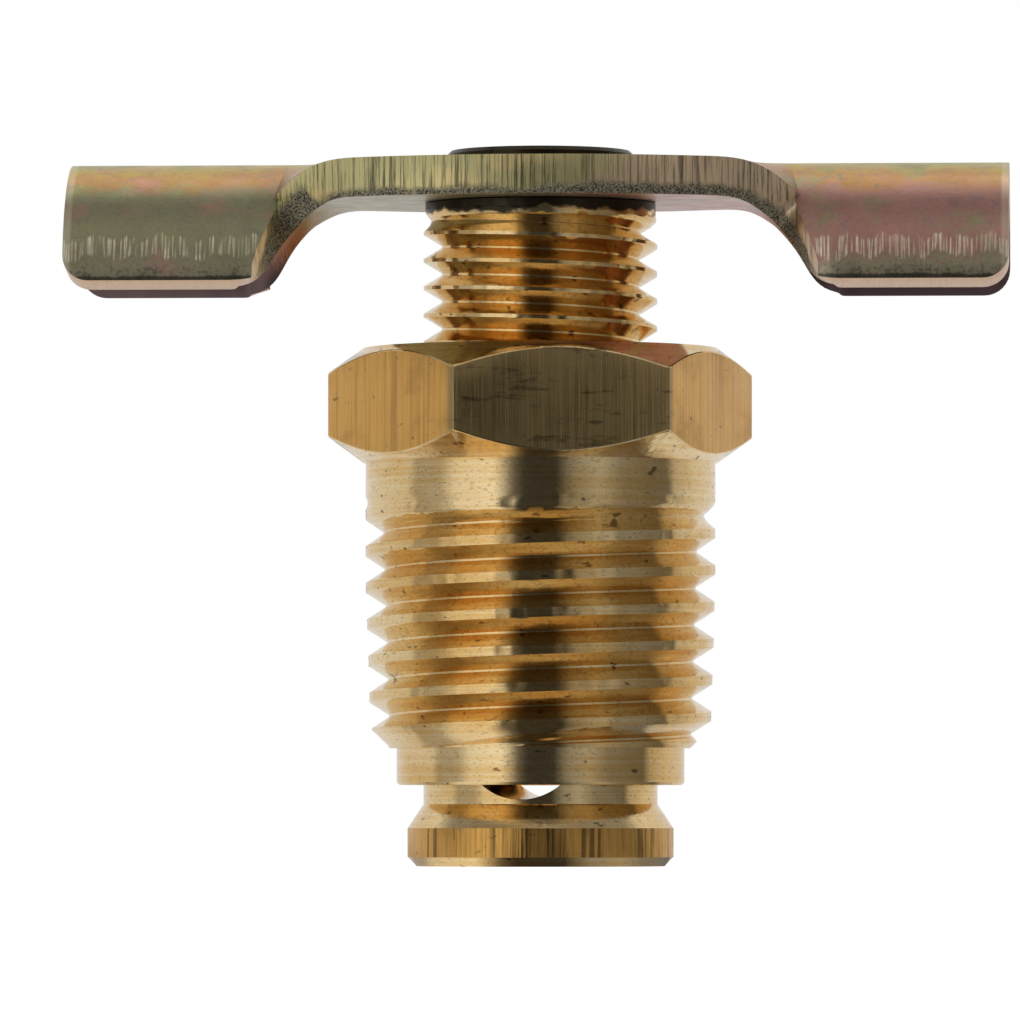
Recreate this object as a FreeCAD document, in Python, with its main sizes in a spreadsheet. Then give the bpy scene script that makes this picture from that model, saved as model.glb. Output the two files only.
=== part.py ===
import FreeCAD, Part
import math
import os

import Sketcher

# Drain cock with an internal seat, in millimetres. It stands on the disc of its stem, with +Z up,
# the origin on the axis under the disc, and the wings of the handle along X.
# The pipe thread is a wound groove. The finer stem thread is a plain land at its crest diameter.

SIZES = {
    # Valve body
    "hex_across_flats": 14.29,
    "hex_height": 4.40,
    "hex_face_diameter": 13.70,
    "hex_chamfer_angle": 35.0,
    "hex_turn": 9.4,
    "neck_diameter": 13.50,
    "neck_length": 1.32,
    "pipe_thread_length": 9.69,
    "pipe_thread_taper": 0.0625,
    "pipe_thread_taper_run": 5.60,
    "pipe_thread_lead": 0.55,
    "pipe_thread_pitch": 1.4111,
    "pipe_thread_depth": 0.78,
    "pipe_thread_groove": 1.20,
    "pipe_thread_entry": 0.86,
    "pipe_thread_overcut": 0.05,
    "pilot_diameter": 11.10,
    "pilot_length": 1.42,
    "seat_width": 0.30,
    "bore_countersink": 0.30,
    "bore_clearance": 0.05,
    # Stem
    "disc_diameter": 10.27,
    "disc_height": 1.47,
    "disc_chamfer": 0.35,
    "cone_height": 0.92,
    "opening_gap": 0.74,
    "stem_diameter": 9.03,
    "stem_reach": 5.59,
    "stem_chamfer": 0.30,
    "cross_hole_diameter": 4.70,
    "cross_hole_height": 4.91,
    "cross_hole_turn": -7.0,
    "drain_bore_diameter": 4.40,
    "drill_point_angle": 118.0,
    "tenon_diameter": 6.40,
    "rim_diameter": 7.20,
    "rim_height": 0.45,
    "rim_round": 0.15,
    "rim_flare": 0.35,
    # Wing handle
    "handle_span": 36.20,
    "strip_width": 12.40,
    "boss_radius": 14.00,
    "waist_width": 7.20,
    "flare_start": 9.90,
    "flare_run": 1.70,
    "sheet_thickness": 1.50,
    "bend_start": 6.30,
    "bend_run": 4.10,
    "bend_angle": 70.0,
    "leg_length": 1.40,
    "leg_corner_radius": 1.00,
    "handle_clearance": 0.05,
}

# Share of the width across flats that reaches a little past the hexagon's corners
BEYOND_CORNERS = 0.6

# Number of sections that draw a wing's root, spread evenly from the boss to the full wing
CURL_SECTIONS = 14

BODY_BOTTOM = "(sizes.disc_height + sizes.cone_height + sizes.opening_gap)"
THREAD_START = "sizes.pilot_length"
NECK_START = f"({THREAD_START} + sizes.pipe_thread_length)"
HEX_BOTTOM = f"({NECK_START} + sizes.neck_length)"
HEX_TOP = f"({HEX_BOTTOM} + sizes.hex_height)"
SHOULDER = f"({BODY_BOTTOM} + {HEX_TOP} + sizes.stem_reach)"
HANDLE_BOTTOM = f"({SHOULDER} + sizes.handle_clearance)"
RIM_BOTTOM = f"({HANDLE_BOTTOM} + sizes.sheet_thickness + sizes.handle_clearance)"
RIM_TOP = f"({RIM_BOTTOM} + sizes.rim_height)"

STEM_RADIUS = "(sizes.stem_diameter / 2)"
BORE_RADIUS = f"({STEM_RADIUS} + sizes.bore_clearance)"
ARC_HALF_LENGTH = "(sizes.strip_width / 2 - sizes.leg_length)"
WING_START = "max(sizes.bend_start + sizes.bend_run; sizes.flare_start + sizes.flare_run)"

# How a sketch numbers its axes, its origin and the points of an edge
VERTICAL_AXIS_INDEX = -2
HORIZONTAL_AXIS_INDEX = -1
ORIGIN_INDEX = (-1, 1)
LINE_START_INDEX = 1
LINE_END_INDEX = 2
ARC_CENTRE_INDEX = 3


def make_sheet(doc):
    """Put every driving dimension in a cell of its own."""
    sheet = doc.addObject("Spreadsheet::Sheet", "sizes")
    for row, (name, value) in enumerate(SIZES.items(), start=1):
        sheet.set(f"A{row}", name)
        sheet.set(f"B{row}", str(value))
        sheet.setAlias(f"B{row}", name)
    doc.recompute()
    return sheet


def make_body(doc, name):
    """Start a sub-part whose label names its file."""
    body = doc.addObject("PartDesign::Body", name)
    body.Label = name
    return body


def origin_feature(body, role):
    """Find an origin plane or axis of a body by its role."""
    return next(feature for feature in body.Origin.OriginFeatures if feature.Role == role)


def make_sketch(body, name, plane, offset=None):
    """Start a sketch on an origin plane of its body, moved along the plane's normal."""
    sketch = body.newObject("Sketcher::SketchObject", name)
    sketch.AttachmentSupport = (origin_feature(body, plane), [""])
    sketch.MapMode = "FlatFace"
    if offset is not None:
        sketch.setExpression("AttachmentOffset.Base.z", offset)
    return sketch


def number(sketch, expression):
    """Work out an expression of the sheet as a plain number."""
    return float(sketch.evalExpression(expression))


def point(sketch, corner):
    """Give the starting place of a corner that is written as two expressions."""
    return FreeCAD.Vector(number(sketch, corner[0]), number(sketch, corner[1]), 0)


def constrain(sketch, kind, *parts):
    """Add a constraint and give its number in the sketch."""
    return sketch.addConstraint(Sketcher.Constraint(kind, *parts))


def bind(sketch, expression, kind, *parts):
    """Add a measured constraint and tie it to an expression of the sheet."""
    index = constrain(sketch, kind, *parts)
    sketch.setExpression(f"Constraints[{index}]", expression)


def chain(sketch, edges, heads=None, tails=None):
    """Join a closed run of edges head to tail."""
    for edge, following in zip(edges, edges[1:] + edges[:1]):
        head = (heads or {}).get(edge, LINE_END_INDEX)
        tail = (tails or {}).get(following, LINE_START_INDEX)
        constrain(sketch, "Coincident", edge, head, following, tail)


def pin_corner(sketch, edge, end, corner):
    """Hold one end of an edge at a place that the sheet gives."""
    across, up = corner
    if across == "0":
        constrain(sketch, "PointOnObject", edge, end, VERTICAL_AXIS_INDEX)
    else:
        start = number(sketch, across)
        bind(sketch, across, "DistanceX", *ORIGIN_INDEX, edge, end, start)
    if up == "0":
        constrain(sketch, "PointOnObject", edge, end, HORIZONTAL_AXIS_INDEX)
    else:
        start = number(sketch, up)
        bind(sketch, up, "DistanceY", *ORIGIN_INDEX, edge, end, start)


def draw_outline(sketch, corners):
    """Draw a closed outline of straight edges with its corners tied to the sheet."""
    places = [point(sketch, corner) for corner in corners]
    ends = places[1:] + places[:1]
    edges = [sketch.addGeometry(Part.LineSegment(*pair)) for pair in zip(places, ends)]
    chain(sketch, edges)
    for edge, corner in zip(edges, corners):
        pin_corner(sketch, edge, LINE_START_INDEX, corner)


def draw_circle(sketch, diameter, height=None):
    """Draw a circle on the sketch's vertical axis, or on its origin where no height is given."""
    centre = ("0", "0" if height is None else height)
    radius = number(sketch, diameter) / 2
    circle = sketch.addGeometry(Part.Circle(point(sketch, centre), FreeCAD.Vector(0, 0, 1), radius))
    pin_corner(sketch, circle, ARC_CENTRE_INDEX, centre)
    bind(sketch, diameter, "Diameter", circle, 2 * radius)


def revolve(body, kind, sketch):
    """Turn a sketch about the body's vertical axis, to add or to cut."""
    feature = body.newObject(f"PartDesign::{kind}", f"{sketch.Name}_{kind}")
    feature.Profile = sketch
    feature.ReferenceAxis = (origin_feature(body, "Z_Axis"), [""])
    feature.Angle = 360
    return feature


def extrude(body, kind, sketch, length, reverse=False, symmetric=False):
    """Pad or pocket a sketch by a length that the sheet gives."""
    feature = body.newObject(f"PartDesign::{kind}", f"{sketch.Name}_{kind}")
    feature.Profile = sketch
    feature.Reversed = reverse
    feature.SideType = "Symmetric" if symmetric else "One side"
    feature.setExpression("Length", length)
    return feature


def cut_thread(body, name, crest, start, end):
    """Wind a right-hand V groove about the axis between two heights, with sizes that begin with its name."""
    depth = f"sizes.{name}_depth"
    half_width = f"(sizes.{name}_groove / 2 * (1 + sizes.{name}_overcut / {depth}))"
    outside = f"({crest} + sizes.{name}_overcut)"
    section = make_sketch(body, f"{name}_section", "XZ_Plane")
    draw_outline(
        section,
        [
            (f"({crest} - {depth})", start),
            (outside, f"({start} - {half_width})"),
            (outside, f"({start} + {half_width})"),
        ],
    )
    thread = body.newObject("PartDesign::SubtractiveHelix", name)
    thread.Profile = section
    thread.ReferenceAxis = (origin_feature(body, "Z_Axis"), [""])
    thread.Mode = "pitch-height-angle"
    thread.setExpression("Pitch", f"sizes.{name}_pitch")
    thread.setExpression("Height", f"({end} - {start})")


def draw_hexagon(sketch):
    """Draw the wrench hexagon with one pair of flats facing along Y."""
    corner_radius = "(sizes.hex_across_flats / 2 / cos(30))"
    radius = number(sketch, corner_radius)
    turns = [math.radians(60 * step) for step in range(6)]
    corners = [FreeCAD.Vector(radius * math.cos(turn), radius * math.sin(turn), 0) for turn in turns]
    ring = sketch.addGeometry(Part.Circle(FreeCAD.Vector(), FreeCAD.Vector(0, 0, 1), radius), True)
    pin_corner(sketch, ring, ARC_CENTRE_INDEX, ("0", "0"))
    bind(sketch, corner_radius, "Radius", ring, radius)
    sides = [sketch.addGeometry(Part.LineSegment(*pair)) for pair in zip(corners, corners[1:] + corners[:1])]
    chain(sketch, sides)
    for side in sides:
        constrain(sketch, "PointOnObject", side, LINE_START_INDEX, ring)
    for side in sides[1:]:
        constrain(sketch, "Equal", sides[0], side)
    constrain(sketch, "PointOnObject", sides[0], LINE_START_INDEX, HORIZONTAL_AXIS_INDEX)


def make_valve_body(doc):
    """Turn the brass body: wrench hexagon, neck, pipe thread, pilot, bore and seat."""
    body = make_body(doc, "valve_body")

    hexagon = make_sketch(body, "hexagon", "XY_Plane", HEX_BOTTOM)
    draw_hexagon(hexagon)
    extrude(body, "Pad", hexagon, "sizes.hex_height")

    face_radius = "(sizes.hex_face_diameter / 2)"
    outside = f"(sizes.hex_across_flats * {BEYOND_CORNERS})"
    drop = f"(({outside} - {face_radius}) * tan(sizes.hex_chamfer_angle))"
    hex_chamfers = make_sketch(body, "hex_chamfers", "XZ_Plane")
    for face, low_edge in ((HEX_TOP, f"({HEX_TOP} - {drop})"), (HEX_BOTTOM, f"({HEX_BOTTOM} + {drop})")):
        draw_outline(hex_chamfers, [(face_radius, face), (outside, low_edge), (outside, face)])
    revolve(body, "Groove", hex_chamfers)

    neck_radius = "(sizes.neck_diameter / 2)"
    small_radius = f"({neck_radius} - sizes.pipe_thread_taper_run * sizes.pipe_thread_taper / 2)"
    lead = "sizes.pipe_thread_lead"
    shank = make_sketch(body, "shank", "XZ_Plane")
    draw_outline(
        shank,
        [
            ("0", "0"),
            ("(sizes.pilot_diameter / 2)", "0"),
            ("(sizes.pilot_diameter / 2)", THREAD_START),
            (f"({small_radius} - {lead})", THREAD_START),
            (small_radius, f"({THREAD_START} + {lead})"),
            (neck_radius, f"({THREAD_START} + {lead} + sizes.pipe_thread_taper_run)"),
            (neck_radius, HEX_BOTTOM),
            ("0", HEX_BOTTOM),
        ],
    )
    revolve(body, "Revolution", shank)

    groove_start = f"({THREAD_START} - sizes.pipe_thread_entry)"
    cut_thread(body, "pipe_thread", neck_radius, groove_start, NECK_START)

    seat_slope = f"((sizes.disc_diameter / 2 - {STEM_RADIUS}) / sizes.cone_height)"
    countersink = "sizes.bore_countersink"
    bore = make_sketch(body, "bore", "XZ_Plane")
    draw_outline(
        bore,
        [
            ("0", "0"),
            (f"({BORE_RADIUS} + sizes.seat_width)", "0"),
            (BORE_RADIUS, f"(sizes.seat_width / {seat_slope})"),
            (BORE_RADIUS, f"({HEX_TOP} - {countersink})"),
            (f"({BORE_RADIUS} + {countersink})", HEX_TOP),
            ("0", HEX_TOP),
        ],
    )
    revolve(body, "Groove", bore)

    body.setExpression("Placement.Base.z", BODY_BOTTOM)
    body.setExpression("Placement.Rotation.Angle", "sizes.hex_turn")
    return body


def make_stem(doc):
    """Turn the brass stem: disc, seat cone, thread land, staked tenon, drain bore and cross hole."""
    body = make_body(doc, "stem")

    disc_radius = "(sizes.disc_diameter / 2)"
    tenon_radius = "(sizes.tenon_diameter / 2)"
    rim_radius = "(sizes.rim_diameter / 2)"
    turning = make_sketch(body, "turning", "XZ_Plane")
    draw_outline(
        turning,
        [
            ("0", "0"),
            (f"({disc_radius} - sizes.disc_chamfer)", "0"),
            (disc_radius, "sizes.disc_chamfer"),
            (disc_radius, "sizes.disc_height"),
            (STEM_RADIUS, "(sizes.disc_height + sizes.cone_height)"),
            (STEM_RADIUS, f"({SHOULDER} - sizes.stem_chamfer)"),
            (f"({STEM_RADIUS} - sizes.stem_chamfer)", SHOULDER),
            (tenon_radius, SHOULDER),
            (tenon_radius, RIM_BOTTOM),
            (rim_radius, RIM_BOTTOM),
            (rim_radius, f"({RIM_TOP} - sizes.rim_round)"),
            (f"({rim_radius} - sizes.rim_round)", RIM_TOP),
            ("0", RIM_TOP),
        ],
    )
    revolve(body, "Revolution", turning)

    drain_radius = "(sizes.drain_bore_diameter / 2)"
    drill_point = f"({drain_radius} / tan(sizes.drill_point_angle / 2))"
    drain_bore = make_sketch(body, "drain_bore", "XZ_Plane")
    draw_outline(
        drain_bore,
        [
            ("0", f"(sizes.cross_hole_height - {drill_point})"),
            (drain_radius, "sizes.cross_hole_height"),
            (drain_radius, f"({RIM_TOP} - sizes.rim_flare)"),
            (f"({drain_radius} + sizes.rim_flare)", RIM_TOP),
            ("0", RIM_TOP),
        ],
    )
    revolve(body, "Groove", drain_bore)

    cross_hole = make_sketch(body, "cross_hole", "XZ_Plane")
    draw_circle(cross_hole, "sizes.cross_hole_diameter", "sizes.cross_hole_height")
    extrude(body, "Pocket", cross_hole, "(sizes.disc_diameter * 2)", symmetric=True)

    body.setExpression("Placement.Rotation.Angle", "sizes.cross_hole_turn")
    return body


def draw_strip_section(sketch, right_corners, arcs=None):
    """Draw a section across the sheet, mirrored about the vertical axis.

    The corners run down the right side: outer arc end, outer leg end, inner leg end, inner arc end.
    arcs holds the height on the axis and the radius of the outer and the inner arc of a curled sheet.
    """
    right = [point(sketch, corner) for corner in right_corners]
    left = [FreeCAD.Vector(-place.x, place.y, 0) for place in right]
    outer, tip, tip_inner, inner = range(4)
    loop = [
        (left[outer], right[outer]),
        (right[outer], right[tip]),
        (right[tip], right[tip_inner]),
        (right[tip_inner], right[inner]),
        (right[inner], left[inner]),
        (left[inner], left[tip_inner]),
        (left[tip_inner], left[tip]),
        (left[tip], left[outer]),
    ]
    shapes = [Part.LineSegment(*pair) for pair in loop]
    bridges = (0, 4)
    if arcs is not None:
        for bridge, (top, _) in zip(bridges, arcs):
            start, end = loop[bridge]
            shapes[bridge] = Part.Arc(start, FreeCAD.Vector(0, number(sketch, top), 0), end)
    edges = [sketch.addGeometry(shape) for shape in shapes]

    # A sketch arc runs counter-clockwise, so its ends swap where it is drawn from left to right
    tail = {edge: LINE_START_INDEX for edge in edges}
    head = {edge: LINE_END_INDEX for edge in edges}
    if arcs is not None:
        for bridge, (_, radius) in zip(bridges, arcs):
            edge = edges[bridge]
            if not sketch.getPoint(edge, LINE_START_INDEX).isEqual(loop[bridge][0], 1e-6):
                tail[edge] = LINE_END_INDEX
                head[edge] = LINE_START_INDEX
            bind(sketch, radius, "Radius", edge, number(sketch, radius))
    chain(sketch, edges, head, tail)
    for edge, corner in zip(edges[1:5], right_corners):
        pin_corner(sketch, edge, tail[edge], corner)
    mirrored_edges = (edges[0], edges[7], edges[6], edges[5])
    for edge, mirror in zip(edges[1:5], mirrored_edges):
        ends = (edge, tail[edge], mirror, tail[mirror])
        constrain(sketch, "Symmetric", *ends, VERTICAL_AXIS_INDEX)


def strip_half_width(place):
    """Give half the flat strip's width at a place along it: round boss, narrow waist, full wing."""
    inside = f"max(0; sizes.boss_radius ^ 2 - {place} ^ 2)"
    boss = f"(sqrt({inside}) - sizes.boss_radius + sizes.strip_width / 2)"
    step = f"min(1; max(0; ({place} - sizes.flare_start) / sizes.flare_run))"
    flare = f"({step} ^ 2 * (3 - 2 * {step}))"
    growth = "((sizes.strip_width - sizes.waist_width) / 2)"
    return f"(max({boss}; sizes.waist_width / 2) + {growth} * {flare})"


def draw_boss(sketch):
    """Draw the plan of the flat centre: two round sides between straight ends."""
    end = "sizes.bend_start"
    side = strip_half_width(end)
    corners = [(end, f"(-{side})"), (end, side), (f"(-{end})", side), (f"(-{end})", f"(-{side})")]
    places = [point(sketch, corner) for corner in corners]
    top = FreeCAD.Vector(0, number(sketch, "(sizes.strip_width / 2)"), 0)
    shapes = [
        Part.LineSegment(places[0], places[1]),
        Part.Arc(places[1], top, places[2]),
        Part.LineSegment(places[2], places[3]),
        Part.Arc(places[3], -top, places[0]),
    ]
    edges = [sketch.addGeometry(shape) for shape in shapes]
    chain(sketch, edges)
    for edge, corner in zip(edges, corners):
        pin_corner(sketch, edge, LINE_START_INDEX, corner)
    for arc in (edges[1], edges[3]):
        bind(sketch, "sizes.boss_radius", "Radius", arc, number(sketch, "sizes.boss_radius"))


def draw_flat_section(sketch, place):
    """Draw the sheet's section where the curl begins, still flat."""
    half_width = strip_half_width(place)
    arc_end = f"({half_width} - sizes.leg_length)"
    thickness = "sizes.sheet_thickness"
    upper = [(arc_end, thickness), (half_width, thickness)]
    lower = [(half_width, "0"), (arc_end, "0")]
    draw_strip_section(sketch, upper + lower)


def draw_curled_section(sketch, place):
    """Draw the sheet's section with both sides curled down, to the full angle in the wing."""
    step = f"min(1; ({place} - sizes.bend_start) / sizes.bend_run)"
    full_arc_angle = f"(sizes.bend_angle * sin(90 * {step} ^ 2) ^ 2)"
    arc_share = f"(({strip_half_width(place)} - sizes.leg_length) / {ARC_HALF_LENGTH})"
    angle = f"({full_arc_angle} * {arc_share})"
    middle = f"({ARC_HALF_LENGTH} / ({full_arc_angle} * pi / 180))"
    outer = f"({middle} + sizes.sheet_thickness / 2)"
    inner = f"({middle} - sizes.sheet_thickness / 2)"
    centre = f"(sizes.sheet_thickness - {outer})"
    leg_across = f"(sizes.leg_length * cos({angle}))"
    leg_down = f"(sizes.leg_length * sin({angle}))"
    corners = [
        (f"({outer} * sin({angle}))", f"({centre} + {outer} * cos({angle}))"),
        (f"({outer} * sin({angle}) + {leg_across})", f"({centre} + {outer} * cos({angle}) - {leg_down})"),
        (f"({inner} * sin({angle}) + {leg_across})", f"({centre} + {inner} * cos({angle}) - {leg_down})"),
        (f"({inner} * sin({angle}))", f"({centre} + {inner} * cos({angle}))"),
    ]
    draw_strip_section(sketch, corners, arcs=(("sizes.sheet_thickness", outer), ("0", inner)))


def make_wing_handle(doc, sheet):
    """Press the steel handle: a flat boss with a narrow waist on each side that curls out into a wing."""
    body = make_body(doc, "wing_handle")

    boss = make_sketch(body, "boss", "XY_Plane")
    draw_boss(boss)
    extrude(body, "Pad", boss, "sizes.sheet_thickness")

    sections = [make_sketch(body, "curl_start", "YZ_Plane", "sizes.bend_start")]
    draw_flat_section(sections[0], "sizes.bend_start")
    for index in range(1, CURL_SECTIONS + 1):
        place = f"(sizes.bend_start + ({WING_START} - sizes.bend_start) * {index} / {CURL_SECTIONS})"
        sections.append(make_sketch(body, f"curl_{index}", "YZ_Plane", place))
        draw_curled_section(sections[-1], place)
    doc.recompute()
    curl = body.newObject("PartDesign::AdditiveLoft", "curl")
    curl.Profile = sections[0]
    curl.Sections = sections[1:]
    curl.Ruled = True

    wing_section = make_sketch(body, "wing_section", "YZ_Plane", WING_START)
    draw_curled_section(wing_section, WING_START)
    wing = extrude(body, "Pad", wing_section, f"(sizes.handle_span / 2 - {WING_START})")

    other_wing = body.newObject("PartDesign::Mirrored", "other_wing")
    other_wing.Originals = [curl, wing]
    other_wing.MirrorPlane = (origin_feature(body, "YZ_Plane"), [""])
    body.Tip = other_wing
    doc.recompute()

    corners = body.newObject("PartDesign::Fillet", "leg_corners")
    corners.Base = (other_wing, leg_corner_edges(other_wing.Shape, sheet))
    corners.setExpression("Radius", "sizes.leg_corner_radius")
    body.Tip = corners

    tenon_hole = make_sketch(body, "tenon_hole", "XY_Plane")
    draw_circle(tenon_hole, "(sizes.tenon_diameter + 2 * sizes.handle_clearance)")
    extrude(body, "Pocket", tenon_hole, "sizes.sheet_thickness", reverse=True)

    body.setExpression("Placement.Base.z", HANDLE_BOTTOM)
    return body


def leg_corner_edges(shape, sheet):
    """Name the short edges across the sheet's thickness at the two ends of the wings."""
    end = sheet.handle_span / 2
    names = []
    for index, edge in enumerate(shape.Edges, start=1):
        at_end = all(math.isclose(abs(vertex.X), end, abs_tol=1e-4) for vertex in edge.Vertexes)
        across = math.isclose(edge.Length, sheet.sheet_thickness, abs_tol=1e-4)
        if at_end and across:
            names.append(f"Edge{index}")
    return names


def check(doc, bodies):
    """Stop before anything is written if a feature failed or a sub-part is not one good solid."""
    for item in doc.Objects:
        if {"Invalid", "Error"} & set(item.State):
            raise RuntimeError(f"{item.Label} failed: {item.State}")
    for body in bodies:
        if body.Shape.isNull() or not body.Shape.isValid() or len(body.Shape.Solids) != 1:
            raise RuntimeError(f"{body.Label} is not one valid solid")


def main():
    doc = FreeCAD.newDocument("drain_cock")
    sheet = make_sheet(doc)
    bodies = [make_valve_body(doc), make_stem(doc), make_wing_handle(doc, sheet)]
    doc.recompute()
    check(doc, bodies)
    os.makedirs("parts", exist_ok=True)
    for body in bodies:
        body.Shape.exportStep(f"parts/{body.Label}.step")
        box = body.Shape.BoundBox
        print(f"{body.Label}: {body.Shape.Volume:.1f} mm3, z {box.ZMin:.2f} to {box.ZMax:.2f}")


main()
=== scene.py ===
import math

import bmesh
import bpy
from bpy.props import FloatProperty, FloatVectorProperty, IntProperty, PointerProperty
from bpy.types import Operator, Panel, PropertyGroup
from mathutils import Matrix, Vector, noise


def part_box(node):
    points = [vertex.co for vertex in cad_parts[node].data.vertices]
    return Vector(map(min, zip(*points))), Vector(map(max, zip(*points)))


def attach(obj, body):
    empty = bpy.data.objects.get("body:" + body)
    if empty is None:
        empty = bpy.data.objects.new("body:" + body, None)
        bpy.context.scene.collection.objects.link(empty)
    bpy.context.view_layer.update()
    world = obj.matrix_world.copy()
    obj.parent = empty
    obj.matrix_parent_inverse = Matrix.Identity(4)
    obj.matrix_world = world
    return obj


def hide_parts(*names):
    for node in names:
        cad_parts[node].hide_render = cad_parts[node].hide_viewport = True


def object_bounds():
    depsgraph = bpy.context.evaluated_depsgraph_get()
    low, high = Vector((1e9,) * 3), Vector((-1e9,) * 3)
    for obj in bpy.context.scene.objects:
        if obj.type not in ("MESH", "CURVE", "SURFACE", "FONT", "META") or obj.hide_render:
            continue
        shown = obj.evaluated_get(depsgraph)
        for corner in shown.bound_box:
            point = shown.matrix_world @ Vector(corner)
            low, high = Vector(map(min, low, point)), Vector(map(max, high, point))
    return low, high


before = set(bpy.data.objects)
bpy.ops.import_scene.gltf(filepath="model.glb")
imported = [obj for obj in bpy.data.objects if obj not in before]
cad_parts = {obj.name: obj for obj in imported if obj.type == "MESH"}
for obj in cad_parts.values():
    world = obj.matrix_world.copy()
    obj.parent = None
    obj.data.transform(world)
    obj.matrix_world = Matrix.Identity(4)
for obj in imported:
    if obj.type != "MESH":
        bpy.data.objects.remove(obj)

bl_info = {
    "name": "Drain Cock",
    "version": (1, 0, 0),
    "blender": (4, 5, 0),
    "location": "3D View > Sidebar > Drain Cock",
    "description": "Models an internal-seat drain cock around its solids",
    "category": "Add Mesh",
}

MM = 0.001
FULL_TURN = 2 * math.pi

# Distances under which points count as one: on a mesh, in a test of radius, between a thread's turns
SAME_PLACE = 1e-7
SAME_RADIUS = SAME_PLACE * 10
TURN_JOIN = 2e-6

# Step for slopes on the curled sheet, and the bend in radians under which it counts as flat
NEARBY = 1e-6
STRAIGHT = 1e-6

# Power of the curve by which a waist widens to its wing
FLARE_EASE = 1.7

# Threads: turns wound below the start and trimmed off, spacing of the dents in the crests,
# height of the seam that joins a thread to the turned shape, rise of the pipe thread's radius
# along its axis, and drop of the pipe thread's entry below its root
LEAD_IN = 1.5
BURR_SPACING = 0.0004
SEAM = 0.02 * MM
PIPE_TAPER = 1 / 32
ENTRY_DROP = 0.02 * MM

# Faces: largest upright part of a normal on a bar's side and on a sheet's cut edge, depth of a
# bar's side, and the angles in radians over which an edge is rounded or shaded as sharp
BAR_SIDE = 0.1
CUT_EDGE = 0.2
SIDE_DEPTH = 0.05 * MM
SHARP = 1
SHADE_SHARP = math.radians(28)

# Brass: how ragged and how soft the border of the painted shade below the handle is, and the depths between
# which the painted dark reflection on the front hexagon flat sets in
SHADE_RAGGED = 0.9 * MM
SHADE_SOFT = 0.08 * MM
FRONT_DARK_DEEP = 0.5 * MM
FRONT_DARK_SHALLOW = 0.05 * MM

# Share of dirt in the drawing lines of the hexagon and of the disc
HEXAGON_LINES = 0.15
DISC_LINES = 0.75

# Chromate film: places along the handle between which olive turns to mauve, heights above a wing's
# lower edge between which the dirt, the dark line and the violet underside fade, and how ragged
# the borders are
OLIVE_END = -12 * MM
MAUVE_START = 14 * MM
TICK_RAGGED = 1.1 * MM
DIRT_FADE = (0.95 * MM, 0.55 * MM)
DIRT_RAGGED = 0.5 * MM
LINE_FADE = (0.44 * MM, 0.34 * MM)
LINE_RAGGED = 0.3 * MM
VIOLET_FADE = (0.4 * MM, 2.4 * MM)
VIOLET_RAGGED = 1.2 * MM

# Cut edge: distances before a bend's end over which the wing's film and the torn grain set in,
# and places along the handle between which the rose film sets in, and how ragged its border is
WING_FILM = 0.9 * MM
TORN_BEND = (3.0 * MM, 2.0 * MM)
ROSE_FADE = (MM, 4 * MM)
ROSE_RAGGED = 9 * MM

# Stage: half the floor's width, its tint and glow, the lamp's place, size and power, the point
# that it faces, and the camera's sensor and reach
WHITE = (1.0, 1.0, 1.0, 1.0)
FLOOR_REACH = 4.0
FLOOR_TINT = (0.95, 0.95, 0.95, 1.0)
FLOOR_ROUGHNESS = 0.9
FLOOR_GLOW = 0.75
LAMP_PLACE = (0.0, 0.25, 0.9)
LAMP_SIZE = (0.7, 0.5)
LAMP_POWER = 0.9
LAMP_AIM = Vector((0, 0, 0.014))
SENSOR_WIDTH = 36.0
CLIP_START = 0.01
CLIP_END = 20.0

# Attribute of the handle's mesh: depth below the sheet's upper side, from 0 to 1
SHEET_DEPTH = "sheet_depth"

# Places that come from the solids
CAD_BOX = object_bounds()
BODY_LOW, BODY_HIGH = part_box("valve_body")
STEM_LOW, STEM_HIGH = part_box("stem")
HANDLE_LOW, HANDLE_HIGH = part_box("wing_handle")

# Ceiling of the studio: upward part of a direction between which the walls give way to it, and, behind
# and before the part, the parts along Y between which its light changes, with the light at both
CEILING_FROM = (0.25, 0.60)
CEILING_BEHIND = (0.18, 0.50, 0.28, 0.80)
CEILING_BEFORE = (-0.25, -0.60, 0.0, 0.30)

# Light round the part, as (degrees to the right of the camera, level)
STUDIO_LEVELS = (
    (-180, 0.80),
    (-120, 0.74),
    (-93, 0.70),
    (-86, 0.42),
    (-66, 0.46),
    (-54, 0.84),
    (-28, 0.98),
    (-15, 0.14),
    (-8, 0.04),
    (14, 0.04),
    (26, 0.29),
    (42, 0.42),
    (58, 0.24),
    (94, 0.16),
    (101, 0.50),
    (125, 0.74),
    (180, 0.80),
)

# Size of the picture that the camera is framed for
PHOTO_PIXELS = 1020


def length(name, description, millimetres):
    """Describe a length that a user may change."""
    return FloatProperty(
        name=name, description=description, default=millimetres * MM, unit="LENGTH", precision=5
    )


def angle(name, description, degrees):
    """Describe an angle that a user may change."""
    return FloatProperty(
        name=name, description=description, default=math.radians(degrees), subtype="ANGLE"
    )


def step_count(name, description, count, least=1):
    """Describe a number of steps that a user may change."""
    return IntProperty(name=name, description=description, default=count, min=least)


def colour(name, description, red, green, blue):
    """Describe a linear colour that a user may change."""
    return FloatVectorProperty(
        name=name, description=description, default=(red, green, blue), subtype="COLOR", min=0.0, max=1.0
    )


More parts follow.
